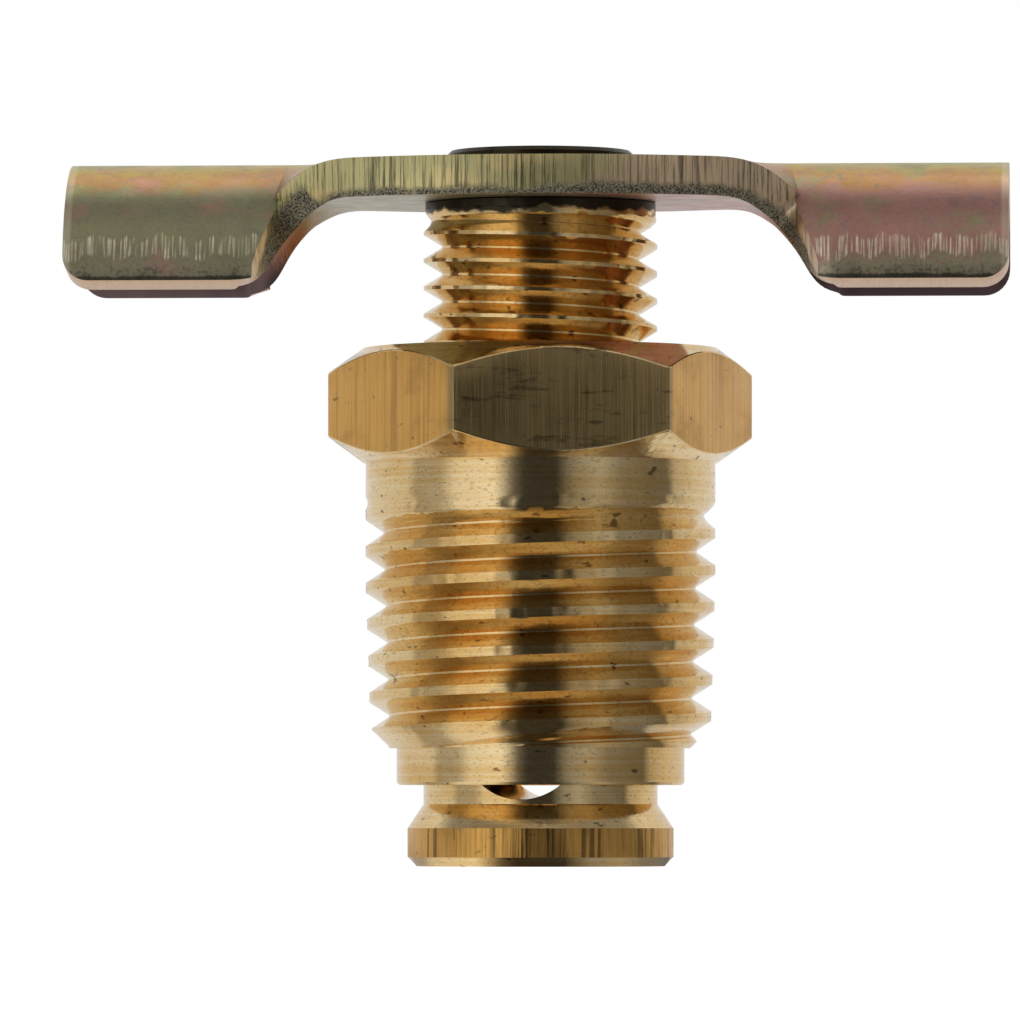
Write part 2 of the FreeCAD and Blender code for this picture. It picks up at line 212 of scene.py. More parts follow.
class ValveBodySizes(PropertyGroup):
    """Sizes of the brass body."""

    hex_across_flats: length("Across flats", "Wrench size of the hexagon", 14.29)
    hex_height: length("Hexagon height", "Height of the hexagon", 4.40)
    hex_face: length("Hexagon face", "Diameter of the turned face above and below the hexagon", 13.70)
    hex_chamfer: angle("Hexagon chamfer", "Slope of the chamfer on the hexagon's corners", 35.0)
    hex_turn: angle("Hexagon turn", "Turn of the hexagon about the axis", 9.4)
    hex_edge: length("Hexagon edge", "Rounding of the hexagon's edges", 0.07)
    neck: length("Neck diameter", "Diameter of the plain neck", 13.50)
    neck_length: length("Neck length", "Length of the plain neck", 1.32)
    thread_length: length("Thread length", "Length of the pipe thread", 9.69)
    thread_lead: length("Thread lead", "Rise of the pipe thread in one turn", 1.4111)
    thread_depth: length("Thread depth", "Depth of the pipe thread at its small end", 0.775)
    thread_root: length("Thread root", "Width of the flat at the thread's root", 0.08)
    thread_crest: length("Thread crest", "Width of the flat on the thread's crest", 0.36)
    thread_burr: length("Thread burr", "Depth of the dents in the thread's crests", 0.07)
    thread_taper_run: length("Taper run", "Length over which the crests taper", 5.60)
    thread_phase: angle("Thread phase", "Turn of the pipe thread about the axis", 39.0)
    thread_runout: length("Thread run-out", "Length over which the thread fades into the neck", 1.1)
    thread_entry: length("Thread entry", "Height of the chamfer at the thread's small end", 0.75)
    pilot: length("Pilot diameter", "Diameter of the plain pilot below the thread", 11.10)
    pilot_length: length("Pilot length", "Length of the plain pilot", 1.42)
    pilot_edge: length("Pilot edge", "Chamfer on the pilot's lower edge", 0.10)
    bore: length("Bore", "Diameter of the bore", 9.13)
    seat: length("Seat width", "Width of the conical seat at the bore's lower edge", 0.30)
    seat_height: length("Seat height", "Height of the conical seat", 0.445)
    countersink: length("Countersink", "Chamfer at the bore's upper edge", 0.30)


class StemSizes(PropertyGroup):
    """Sizes of the brass stem."""

    disc: length("Disc diameter", "Diameter of the disc", 10.27)
    disc_height: length("Disc height", "Height of the disc", 1.47)
    disc_chamfer: length("Disc chamfer", "Chamfer on the disc's lower edge", 0.35)
    cone_height: length("Cone height", "Height of the seat cone", 0.92)
    shank: length("Shank diameter", "Diameter of the plain neck and of the thread's crests", 9.03)
    thread_low: length("Thread start", "Height at which the thread begins", 9.5)
    thread_lead: length("Thread lead", "Rise of the stem thread in one turn", 1.0583)
    thread_depth: length("Thread depth", "Depth of the stem thread", 0.70)
    thread_root: length("Thread root", "Width of the flat at the thread's root", 0.07)
    thread_crest: length("Thread crest", "Width of the flat on the thread's crest", 0.14)
    thread_burr: length("Thread burr", "Depth of the dents in the thread's crests", 0.05)
    thread_phase: angle("Thread phase", "Turn of the stem thread about the axis", -138.0)
    thread_runout: length("Thread run-out", "Length over which the thread fades out", 0.9)
    collar: length("Collar diameter", "Diameter of the plain collar under the handle", 8.90)
    collar_height: length("Collar height", "Height of the plain collar", 0.30)
    # Painted shade: height of the near-black band painted on the stem below the handle, standing in for the
    # shade there
    shade_and_film: length("Stain", "Height of the dark stain below the handle", 0.40)
    shoulder: length("Shoulder", "Height of the shoulder that carries the handle", 25.55)
    tenon: length("Tenon diameter", "Diameter of the tenon through the handle", 6.40)
    rim: length("Rim diameter", "Diameter of the staked rim", 7.20)
    rim_height: length("Rim height", "Height of the staked rim", 0.45)
    rim_round: length("Rim rounding", "Rounding of the staked rim", 0.15)
    rim_flare: length("Rim flare", "Flare at the mouth of the drain bore", 0.35)
    drain_bore: length("Drain bore", "Diameter of the drain bore", 4.40)
    cross_hole: length("Cross hole", "Diameter of the cross hole", 4.70)
    cross_hole_height: length("Cross hole height", "Height of the cross hole's axis", 4.91)
    cross_hole_turn: angle("Cross hole turn", "Turn of the cross hole about the axis", -7.0)
    drill_point: angle("Drill point", "Angle of the drill point at the bore's end", 118.0)


class HandleSizes(PropertyGroup):
    """Sizes of the pressed steel handle."""

    strip_width: length("Strip width", "Width of the flat sheet across the boss and the wings", 12.40)
    boss_radius: length("Boss radius", "Radius of the round sides of the flat boss", 15.00)
    waist: length("Waist", "Width of the sheet between the boss and a wing", 5.05)
    waist_blend: length("Waist blend", "Softness of the turn from the boss into the waist", 0.60)
    flare_start: length("Flare start", "Distance from the axis at which the waist begins to widen", 9.50)
    flare_run: length("Flare run", "Length over which the waist widens to the wing", 2.40)
    thickness: length("Sheet thickness", "Thickness of the steel sheet", 1.50)
    bend_start: length("Bend start", "Distance from the axis at which the wings begin to curl", 6.30)
    bend_run: length("Bend run", "Length over which the curl grows to its full angle", 4.85)
    bend_angle: angle("Bend angle", "Full angle of the curl on each side", 79.0)
    leg: length("Leg length", "Straight length of sheet below the curl", 1.10)
    corner: length("Corner radius", "Radius of the corners at the wing ends", 1.00)
    hole: length("Hole diameter", "Diameter of the hole for the tenon", 6.50)
    rollover: length("Rollover", "Rounding that the press leaves on the upper edge", 0.22)
    burr_edge: length("Burr edge", "Rounding of the lower edge", 0.07)
    tick_height: length("Tick height", "Height of the row of scrape marks above a wing's lower edge", 1.50)
    tick: length("Tick length", "Length of the scrape marks", 0.55)
    grid: length("Grid", "Spacing of the cuts that let the sheet bend", 0.28)
    fine_grid: length("Fine grid", "Spacing of the cuts across the waists", 0.07)


class MeshSettings(PropertyGroup):
    """Fineness of the meshes."""

    around: step_count("Steps around", "Steps in one turn", 192, 24)
    drill_around: step_count("Steps around a drill", "Steps in one turn of the cross hole", 96)
    bevel_segments: step_count("Bevel segments", "Steps across a rounded edge", 3)
    corner_segments: step_count("Corner segments", "Steps round a corner of the wings", 8)


class Finishes(PropertyGroup):
    """Colours of the metals."""

    brass_light: colour("Bright brass", "Freshly turned brass", 0.86, 0.67, 0.37)
    brass_deep: colour("Deep brass", "Brass where it has darkened", 0.74, 0.47, 0.17)
    brass_grime: colour("Brass grime", "Fine grime in the tool marks", 0.34, 0.19, 0.06)
    brass_dark: colour("Dark specks", "Dirt and burrs on the brass", 0.06, 0.04, 0.02)
    # Painted shade: near-black colour painted on the stem just below the handle, standing in for the shade
    # there
    brass_painted_shade: colour("Brass stain", "Oxide and oil round the handle's seat", 0.014, 0.013, 0.010)
    drawn_light: colour("Drawn brass", "Drawn faces of the bar", 0.76, 0.42, 0.11)
    drawn_dark: colour("Drawing lines", "Darkened lines on the drawn faces", 0.46, 0.25, 0.07)
    # Painted reflection: grey laid on the hexagon flat that faces the camera, for the dark that it reflects
    drawn_painted_reflection: colour("Tarnish", "Grey tarnish on the flat that is handled most", 0.19, 0.19, 0.12)
    # Painted reflection: the yellow band and the ridge line are film tints laid as the reflection bands of
    # the curled wing
    chromate_yellow_reflection: colour("Chromate yellow", "Yellow band near a wing's ridge", 0.60, 0.42, 0.10)
    chromate_ridge_reflection: colour("Chromate ridge", "Olive green line along a wing's ridge", 0.44, 0.42, 0.14)
    chromate_green: colour("Chromate green", "Green patches in the film", 0.30, 0.34, 0.15)
    chromate_pink: colour("Chromate pink", "Pink patches in the film", 0.52, 0.24, 0.20)
    chromate_blue: colour("Chromate blue", "Blue specks in the film", 0.17, 0.20, 0.24)
    chromate_rust: colour("Chromate rust", "Orange brown film under the wings", 0.34, 0.15, 0.07)
    chromate_violet: colour("Chromate violet", "Dark violet film under the wings", 0.13, 0.085, 0.085)
    # Painted reflection: the salmon band is a film tint laid as a reflection band below the ridge
    chromate_salmon_reflection: colour("Chromate salmon", "Salmon band below the ridge", 0.50, 0.27, 0.10)
    chromate_olive: colour("Chromate olive", "Olive film on the left wing", 0.30, 0.27, 0.16)
    chromate_mauve: colour("Chromate mauve", "Mauve film on the right wing", 0.42, 0.22, 0.18)
    chromate_rim: colour("Chromate rim", "Dark film along a wing's lower edge", 0.34, 0.30, 0.20)
    # Used for the real scrape marks, and also as a painted highlight along the wing ends
    chromate_scratch_and_highlight: colour("Chromate scratches", "Zinc where the film is scraped", 0.85, 0.76, 0.56)
    chromate_dark: colour("Chromate specks", "Dark specks and torn grain", 0.035, 0.035, 0.028)
    edge_bright: colour("Cut edge", "Burnished part of the cut edge", 0.74, 0.60, 0.28)
    edge_green: colour("Cut edge green", "Greenish film on the cut edge", 0.56, 0.50, 0.24)
    edge_rose: colour("Cut edge rose", "Rose grey film on the right of the cut edge", 0.62, 0.44, 0.32)
    edge_pink: colour("Cut edge pink", "Pink film on the wings' cut edges", 0.56, 0.34, 0.20)
    edge_torn: colour("Torn edge", "Grain of the torn part of the cut edge", 0.36, 0.32, 0.22)


class StageSettings(PropertyGroup):
    """Place and framing of the camera."""

    azimuth: angle("Azimuth", "Turn of the camera about the part", 3.3)
    distance: length("Distance", "Distance of the camera from the axis", 380.0)
    eye_height: length("Eye height", "Height of the camera", 2.0)
    view_width: length("View width", "Width of the picture at the axis", 39.37)
    axis_pixel: FloatProperty(name="Axis column", description="Picture column of the axis", default=540.5)
    foot_pixel: FloatProperty(name="Foot row", description="Picture row of the part's foot", default=866.0)


class Graph:
    """Short calls that build the nodes of one material or world."""

    def __init__(self, owner):
        owner.use_nodes = True
        self.tree = owner.node_tree
        self.tree.nodes.clear()

    def node(self, kind, sockets=None, output=0, **settings):
        """Add a kind of shader node, set its options, fill or link its sockets, and give one output."""
        added = self.tree.nodes.new("ShaderNode" + kind)
        for name, value in settings.items():
            setattr(added, name, value)
        for socket, value in (sockets or {}).items():
            if isinstance(value, bpy.types.NodeSocket):
                self.tree.links.new(value, added.inputs[socket])
            else:
                added.inputs[socket].default_value = value
        return added.outputs[output] if len(added.outputs) else added

    def coordinates(self):
        """Give the surface's place on its own object, in metres."""
        return self.node("TexCoord", output="Object")

    def split(self, place):
        """Give the X, Y and Z of a place."""
        return self.node("SeparateXYZ", {"Vector": place}).node.outputs

    def pattern(self, place, scale, detail=3.0, roughness=0.5):
        """Give a soft random pattern from 0 to 1, with its own scale along each axis."""
        sockets = {
            "Vector": self.node("VectorMath", {0: place, 1: scale}, operation="MULTIPLY"),
            "Scale": 1.0,
            "Detail": detail,
            "Roughness": roughness,
        }
        return self.node("TexNoise", sockets, output="Fac")

    def range(self, value, low, high, to_low=0.0, to_high=1.0):
        """Map a stretch of values to another, held at its ends."""
        sockets = {"Value": value, "From Min": low, "From Max": high, "To Min": to_low, "To Max": to_high}
        return self.node("MapRange", sockets, interpolation_type="SMOOTHSTEP")

    def linear(self, value, low, high):
        """Map a stretch of values evenly to 0 to 1."""
        return self.node("MapRange", {"Value": value, "From Min": low, "From Max": high})

    def ragged(self, value, pattern, reach):
        """Shift a value by a pattern from 0 to 1 that is spread evenly about nought, over a reach."""
        sockets = {0: pattern, 1: reach, 2: -reach / 2}
        shift = self.node("Math", sockets, operation="MULTIPLY_ADD")
        return self.maths("ADD", value, shift)

    def mixed(self, first, second, share):
        """Blend two patterns, with the second one's share."""
        return self.node("Mix", {"Factor": share, 2: first, 3: second}, output=0, data_type="FLOAT")

    def maths(self, operation, first, second=0.0):
        """Work on one or two values."""
        return self.node("Math", {0: first, 1: second}, operation=operation)

    def product(self, first, second):
        """Multiply two values."""
        return self.maths("MULTIPLY", first, second)

    def mix(self, factor, first, second):
        """Mix two colours."""
        sockets = {"Factor": factor, 6: first, 7: second}
        return self.node("Mix", sockets, output=2, data_type="RGBA")

    def tinted(self, base, tint, mask, strength):
        """Lay a tint over a colour where a mask is high, at a strength."""
        return self.mix(self.product(mask, strength), base, rgba(tint))

    def ramp(self, factor, stops):
        """Give a colour along a ramp of (place, colour) stops."""
        out = self.node("ValToRGB", {"Fac": factor})
        elements = out.node.color_ramp.elements
        while len(elements) < len(stops):
            elements.new(0.5)
        for element, (place, tint) in zip(elements, stops):
            element.position = place
            element.color = tint
        return out

    def bump(self, height, distance, strength, under=None):
        """Turn a height into a normal, over another normal where one is given."""
        sockets = {"Height": height, "Distance": distance, "Strength": strength}
        if under is not None:
            sockets["Normal"] = under
        return self.node("Bump", sockets)

    def finish_metal(self, base, roughness, normal, metallic=1.0):
        """Close the material with a metal shader."""
        sockets = {"Base Color": base, "Roughness": roughness, "Normal": normal, "Metallic": metallic}
        shader = self.node("BsdfPrincipled", sockets)
        self.node("OutputMaterial", {"Surface": shader})


def rgba(tint):
    """Give a colour property as the four numbers that a node takes."""
    return (*tint, 1.0)


def begin_material(name):
    """Give a new material, its graph and the surface's place on its object."""
    material = bpy.data.materials.new(name)
    graph = Graph(material)
    return material, graph, graph.coordinates()


def turned_brass(finishes, name, shade_from=None):
    """Bright brass with rings of tool marks, soft darkening and a few dark specks.

    The last argument gives the height above which the brass is painted near black, as painted shade below the
    handle.
    """
    material, graph, place = begin_material(name)
    rings = graph.pattern(place, (60.0, 60.0, 9000.0), 4.0, 0.6)
    patches = graph.pattern(place, (260.0, 260.0, 420.0), 3.0)
    grit = graph.pattern(place, (5000.0, 5000.0, 9000.0), 3.0, 0.6)
    specks = graph.range(graph.pattern(place, (1700.0, 1700.0, 3400.0), 2.0), 0.67, 0.74)
    tone = graph.mixed(graph.mixed(rings, grit, 0.4), patches, 0.45)
    base = graph.mix(graph.range(tone, 0.40, 0.60), rgba(finishes.brass_deep), rgba(finishes.brass_light))
    base = graph.mix(graph.range(grit, 0.52, 0.66, 0.0, 0.45), base, rgba(finishes.brass_grime))
    base = graph.tinted(base, finishes.brass_dark, specks, 0.7)
    roughness = graph.range(grit, 0.35, 0.65, 0.07, 0.16)
    # Painted shade: a near-black band just below the handle stands in for the shade that falls between the
    # stem and the handle
    if shade_from is not None:
        height = graph.split(place)["Z"]
        ragged = graph.pattern(place, (900.0, 900.0, 900.0), 3.0)
        edge = graph.ragged(height, ragged, SHADE_RAGGED)
        shade_and_film = graph.range(edge, shade_from - SHADE_SOFT, shade_from + SHADE_SOFT)
        base = graph.tinted(base, finishes.brass_painted_shade, shade_and_film, 0.97)
        roughness = graph.maths("ADD", roughness, graph.product(shade_and_film, 0.25))
    normal = graph.bump(rings, 0.01 * MM, 0.15)
    normal = graph.bump(patches, 0.1 * MM, 0.04, normal)
    normal = graph.bump(grit, 0.01 * MM, 0.12, normal)
    graph.finish_metal(base, roughness, normal)
    return material


def drawn_brass(finishes, name, dark_lines, facing=None):
    """Brass as the bar was drawn: fine lines along the axis, stains and scratches.

    dark_lines is the share of dirt in the lines, and facing is the direction and the distance
    from the axis of the flat that faces the camera, which is painted grey as a dark reflection.
    """
    material, graph, place = begin_material(name)
    lines = graph.pattern(place, (5200.0, 5200.0, 120.0), 4.0, 0.65)
    wide_lines = graph.pattern(place, (1400.0, 1400.0, 60.0), 3.0)
    stains = graph.pattern(place, (420.0, 420.0, 520.0), 4.0, 0.6)
    smudges = graph.range(stains, 0.52, 0.70)
    tone = graph.mixed(lines, wide_lines, 0.4)
    base = graph.mix(graph.range(tone, 0.28, 0.60), rgba(finishes.drawn_dark), rgba(finishes.drawn_light))
    base = graph.tinted(base, finishes.drawn_dark, smudges, 0.55)
    deep = graph.mixed(lines, wide_lines, 0.5)
    base = graph.mix(graph.range(deep, 0.50, 0.60, 0.0, dark_lines), base, rgba(finishes.brass_dark))
    specks = graph.range(graph.pattern(place, (1500.0, 1500.0, 2600.0), 4.0, 0.7), 0.62, 0.70)
    base = graph.tinted(base, finishes.brass_dark, specks, 0.6)
    if facing is not None:
        direction, distance = facing
        sockets = {0: place, 1: direction}
        reach = graph.node("VectorMath", sockets, output="Value", operation="DOT_PRODUCT")
        # Painted reflection: the flat that faces the camera is greyed, standing in for the dark that it
        # reflects in front
        front_reflection = graph.range(reach, distance - FRONT_DARK_DEEP, distance - FRONT_DARK_SHALLOW)
        base = graph.tinted(base, finishes.drawn_painted_reflection, front_reflection, 0.65)
        scuffs = graph.pattern(place, (500.0, 500.0, 2400.0), 4.0, 0.7)
        scuffed = graph.product(graph.range(scuffs, 0.55, 0.68), front_reflection)
        base = graph.tinted(base, finishes.brass_dark, scuffed, 0.6)
    roughness = graph.range(stains, 0.3, 0.7, 0.26, 0.40)
    normal = graph.bump(lines, 0.05 * MM, 0.55)
    normal = graph.bump(wide_lines, 0.08 * MM, 0.25, normal)
    graph.finish_metal(base, roughness, normal)
    return material


def film_and_reflection_bands(finishes, middle):
    """Order the tints of the chromate film from a wing's lower edge up to its ridge; the salmon band, the
    yellow band and the ridge line are painted reflection of the curled sheet.
    """
    return (
        (0.0, rgba(finishes.chromate_rim)),
        (0.16, rgba(finishes.chromate_rim)),
        (0.28, rgba(middle)),
        (0.74, rgba(middle)),
        (0.84, rgba(finishes.chromate_salmon_reflection)),
        (0.89, rgba(finishes.chromate_salmon_reflection)),
        (0.95, rgba(finishes.chromate_yellow_reflection)),
        (1.0, rgba(finishes.chromate_ridge_reflection)),
    )


def chromate_zinc(finishes, sizes):
    """Zinc plate under a chromate film whose tint changes with the height and the side of a wing, with
    painted reflection bands near the ridge and a painted highlight at the wing ends.
    """
    material, graph, place = begin_material("chromate_zinc")
    parts = graph.split(place)
    height = parts["Z"]
    low = HANDLE_LOW.z
    drift = graph.pattern(place, (140.0, 220.0, 260.0), 3.0)
    cloud = graph.pattern(place, (900.0, 900.0, 900.0), 5.0, 0.65)
    grain = graph.pattern(place, (7000.0, 7000.0, 7000.0), 2.0)
    # Tints by height from the lower edge to the ridge: the film's own colours, with painted reflection bands
    # near the ridge
    film = graph.linear(height, low, HANDLE_HIGH.z)
    for pattern, reach in ((drift, 0.34), (cloud, 0.26), (grain, 0.16)):
        film = graph.ragged(film, pattern, reach)
    left = graph.ramp(film, film_and_reflection_bands(finishes, finishes.chromate_olive))
    right = graph.ramp(film, film_and_reflection_bands(finishes, finishes.chromate_mauve))
    to_right = graph.ragged(graph.linear(parts["X"], OLIVE_END, MAUVE_START), cloud, 0.7)
    base = graph.mix(graph.range(to_right, 0.3, 0.7), left, right)
    for scale, start, tint in (
        (520.0, 0.50, finishes.chromate_green),
        (610.0, 0.52, finishes.chromate_pink),
        (1900.0, 0.56, finishes.chromate_blue),
    ):
        patches = graph.pattern(place, (scale, scale, scale * 1.6), 4.0, 0.65)
        patch = graph.range(patches, start, start + 0.2)
        base = graph.tinted(base, tint, patch, 0.58)

    scrape = graph.pattern(place, (11000.0, 900.0, 250.0), 2.0)
    shift = graph.pattern(place, (1700.0, 1700.0, 0.0), 2.0)
    reach = graph.ragged(height, shift, TICK_RAGGED)
    tick_low = low + sizes.tick_height - sizes.tick / 2
    tick_top = low + sizes.tick_height + sizes.tick / 2
    above = graph.range(reach, tick_low - sizes.tick / 3, tick_low)
    below = graph.range(reach, tick_top + sizes.tick / 3, tick_top)
    ticks = graph.product(graph.product(above, below), graph.range(scrape, 0.48, 0.60))
    bright = graph.range(cloud, 0.40, 0.60, 0.40, 0.85)
    base = graph.mix(graph.product(ticks, bright), base, rgba(finishes.chromate_scratch_and_highlight))

    edge = graph.ragged(height, cloud, DIRT_RAGGED)
    rim = graph.range(edge, low + DIRT_FADE[0], low + DIRT_FADE[1])
    specks = graph.range(grain, 0.46, 0.66)
    share = graph.node("Math", {0: rim, 1: 0.35, 2: 0.10}, operation="MULTIPLY_ADD")
    dirt = graph.product(specks, share)
    base = graph.mix(dirt, base, rgba(finishes.chromate_dark))
    ragged = graph.ragged(height, cloud, LINE_RAGGED)
    line = graph.range(ragged, low + LINE_FADE[0], low + LINE_FADE[1])
    base = graph.tinted(base, finishes.chromate_dark, line, 0.8)
    # Painted highlight: the ends of the wings are lightened with the scratch colour, standing in for the
    # light on their rounded end edges
    aside = graph.maths("ABSOLUTE", parts["X"])
    end_highlight = graph.range(aside, HANDLE_HIGH.x - sizes.rollover * 1.6, HANDLE_HIGH.x - sizes.rollover)
    base = graph.tinted(base, finishes.chromate_scratch_and_highlight, end_highlight, 0.28)
    depth = graph.node("Attribute", output="Fac", attribute_name=SHEET_DEPTH)
    inside = graph.range(depth, 0.7, 0.9)
    boss_under = HANDLE_HIGH.z - sizes.thickness
    lowered = graph.range(height, boss_under, boss_under - sizes.thickness)
    under = graph.product(inside, lowered)
    fall = graph.ragged(height, cloud, VIOLET_RAGGED)
    redden = graph.range(fall, low + VIOLET_FADE[0], low + VIOLET_FADE[1])
    shade_and_film = graph.mix(redden, rgba(finishes.chromate_violet), rgba(finishes.chromate_rust))
    base = graph.mix(under, base, shade_and_film)
    roughness = graph.range(cloud, 0.3, 0.7, 0.28, 0.42)
    normal = graph.bump(cloud, 0.06 * MM, 0.20)
    normal = graph.bump(grain, 0.01 * MM, 0.25, normal)
    normal = graph.bump(ticks, 0.03 * MM, 0.30, normal)
    graph.finish_metal(base, roughness, normal, 0.85)
    return material


def sheared_edge(finishes, sizes):
    """Cut edge of the sheet: burnished with upright lines, torn low on the boss and in the bends."""
    material, graph, place = begin_material("sheared_edge")
    along = graph.split(place)["X"]
    aside = graph.maths("ABSOLUTE", along)
    bend = sizes.bend_start + sizes.bend_run
    on_wing = graph.range(aside, bend - WING_FILM, bend)
    off_wing = graph.maths("SUBTRACT", 1.0, on_wing)
    past_boss = graph.range(aside, bend - TORN_BEND[0], bend - TORN_BEND[1])
    in_bend = graph.product(past_boss, off_wing)
    depth = graph.node("Attribute", output="Fac", attribute_name=SHEET_DEPTH)
    lines = graph.pattern(place, (9500.0, 900.0, 260.0), 4.0, 0.7)
    grain = graph.pattern(place, (14000.0, 14000.0, 14000.0), 3.0, 0.6)
    wave = graph.pattern(place, (800.0, 800.0, 800.0), 4.0, 0.6)
    lean = graph.linear(along, -bend, bend)
    border = graph.ragged(depth, wave, 0.5)
    border = graph.ragged(border, lean, 0.24)
    black = graph.range(along, -sizes.bend_start, sizes.bend_start, 0.60, 0.10)
    border = graph.maths("ADD", border, graph.product(in_bend, black))
    torn = graph.product(graph.range(border, 0.66, 0.90), off_wing)
    tint = graph.range(graph.pattern(place, (260.0, 260.0, 500.0), 2.0), 0.40, 0.60)
    burnished = graph.mix(tint, rgba(finishes.edge_bright), rgba(finishes.edge_green))
    rose_border = graph.ragged(along, wave, ROSE_RAGGED)
    rosy = graph.range(rose_border, *ROSE_FADE, 0.0, 0.7)
    burnished = graph.mix(rosy, burnished, rgba(finishes.edge_rose))
    burnished = graph.mix(graph.range(lines, 0.46, 0.66, 0.0, 0.8), burnished, rgba(finishes.chromate_dark))
    burnished = graph.tinted(burnished, finishes.edge_pink, on_wing, 0.85)
    rough = graph.mix(graph.range(grain, 0.36, 0.64), rgba(finishes.chromate_dark), rgba(finishes.edge_torn))
    base = graph.mix(torn, burnished, rough)
    roughness = graph.range(torn, 0.0, 1.0, 0.30, 0.50)
    normal = graph.bump(lines, 0.05 * MM, 0.4)
    normal = graph.bump(graph.product(grain, torn), 0.05 * MM, 0.5, normal)
    graph.finish_metal(base, roughness, normal, 0.85)
    return material


def clamped(value):
    """Hold a value between 0 and 1."""
    return min(max(value, 0.0), 1.0)


def radius_of(point):
    """Give a point's distance from the axis."""
    return math.hypot(point.x, point.y)


def turn_about_axis(turn):
    """Give the rotation about the upright axis."""
    return Matrix.Rotation(turn, 3, "Z")


def add_object(name, data):
    """Put data in the scene as an object at the origin."""
    added = bpy.data.objects.new(name, data)
    bpy.context.scene.collection.objects.link(added)
    return added


def all_of(bm):
    """Give every vertex, edge and face of a mesh."""
    return bm.verts[:] + bm.edges[:] + bm.faces[:]


def slice_mesh(bm, place, normal, clear_outer=False):
    """Cut every face along a plane, and drop what lies beyond it where asked."""
    bmesh.ops.bisect_plane(
        bm, geom=all_of(bm), dist=SAME_PLACE, plane_co=place, plane_no=normal, clear_outer=clear_outer
    )


def round_bar(diameter, depth, around):
    """Make an upright round bar, centred on the origin, to cut a hole with."""
    bar = bmesh.new()
    radius = diameter / 2
    bmesh.ops.create_cone(
        bar, cap_ends=True, segments=around, radius1=radius, radius2=radius, depth=depth
    )
    return bar


def spin_profile(bm, profile, around):
    """Turn a run of (radius, height) points about the axis."""
    points = [bm.verts.new((radius, 0.0, height)) for radius, height in profile]
    edges = [bm.edges.new(pair) for pair in zip(points, points[1:])]
    bmesh.ops.spin(
        bm, geom=points + edges, cent=(0, 0, 0), axis=(0, 0, 1), angle=FULL_TURN, steps=around, use_merge=True
    )
    bmesh.ops.remove_doubles(bm, verts=bm.verts, dist=SAME_PLACE)


def thread_outline(sizes):
    """Give half a pitch of a thread as (height, share of depth) points, from mid root to mid crest."""
    flank = (sizes.thread_lead - sizes.thread_root - sizes.thread_crest) / 2
    half_root = sizes.thread_root / 2
    shares = (0.0, 0.12, 0.5, 0.88, 1.0)
    slope = tuple((half_root + flank * share, share) for share in shares)
    return ((0.0, 0.0),) + slope + ((sizes.thread_lead / 2, 1.0),)


def wind_thread(bm, sizes, low, high, hand, around, surface):
    """Wind one pitch of a thread into a helix between two heights, and trim it flat at both.

    surface gives the radius at a height and a share of the thread's depth.
    """
    lead = sizes.thread_lead
    half = list(thread_outline(sizes))
    pitch = half + [(lead - height, share) for height, share in reversed(half[:-1])]
    start = low - lead * (LEAD_IN + sizes.thread_phase * hand / FULL_TURN)
    turns = math.ceil((high - start) / lead) + 1
    helix = bmesh.new()
    depth_layer = helix.verts.layers.float.new("share")
    points = []
    for height, share in pitch:
        vert = helix.verts.new((1.0, 0.0, start + height))
        vert[depth_layer] = share
        points.append(vert)
    edges = [helix.edges.new(pair) for pair in zip(points, points[1:])]
    bmesh.ops.spin(
        helix,
        geom=points + edges,
        cent=(0, 0, 0),
        axis=(0, 0, 1),
        dvec=(0, 0, lead / around),
        angle=hand * FULL_TURN,
        steps=around,
    )
    first_turn = all_of(helix)
    for turn in range(1, turns):
        copied = bmesh.ops.duplicate(helix, geom=first_turn)["geom"]
        raised = [item for item in copied if isinstance(item, bmesh.types.BMVert)]
        bmesh.ops.translate(helix, verts=raised, vec=(0, 0, lead * turn))
    for vert in helix.verts:
        radius = surface(vert.co.z, vert[depth_layer])
        across = Vector((vert.co.x, vert.co.y)).normalized() * radius
        vert.co = (across.x, across.y, vert.co.z)
        if vert[depth_layer] == 1.0:
            dent = sizes.thread_burr * max(noise.noise(vert.co / BURR_SPACING), 0.0)
            vert.co.xy *= 1 - dent / radius
    helix.verts.layers.float.remove(depth_layer)
    bmesh.ops.remove_doubles(helix, verts=helix.verts, dist=TURN_JOIN)
    for height, normal in ((low, -1.0), (high, 1.0)):
        slice_mesh(helix, (0, 0, height), (0, 0, normal), clear_outer=True)
    part = bpy.data.meshes.new("helix")
    helix.to_mesh(part)
    helix.free()
    bm.from_mesh(part)
    bpy.data.meshes.remove(part)


def bridge_open_loops(bm, low, high):
    """Close the gap between the open loops that lie between two heights."""
    edges = [
        edge for edge in bm.edges
        if edge.is_boundary and all(low - SAME_PLACE <= vert.co.z <= high + SAME_PLACE for vert in edge.verts)
    ]
    bmesh.ops.bridge_loops(bm, edges=edges)


def paint_faces(bm, index, chosen):
    """Give the faces that a test picks a material by its number."""
    for face in bm.faces:
        if chosen(face):
            face.material_index = index


def on_bar_side(face, radius):
    """Tell whether a face stands on the outer side of the bar that a piece is turned from."""
    outside = radius_of(face.calc_center_median()) > radius - SIDE_DEPTH
    return abs(face.normal.z) < BAR_SIDE and outside


def mesh_piece(name, bm, materials):
    """Put a finished bmesh in the scene as an object at the origin."""
    bmesh.ops.recalc_face_normals(bm, faces=bm.faces)
    mesh = bpy.data.meshes.new(name)
    bm.to_mesh(mesh)
    bm.free()
    mesh.shade_smooth()
    mesh.set_sharp_from_angle(angle=SHADE_SHARP)
    for material in materials:
        mesh.materials.append(material)
    return add_object(name, mesh)


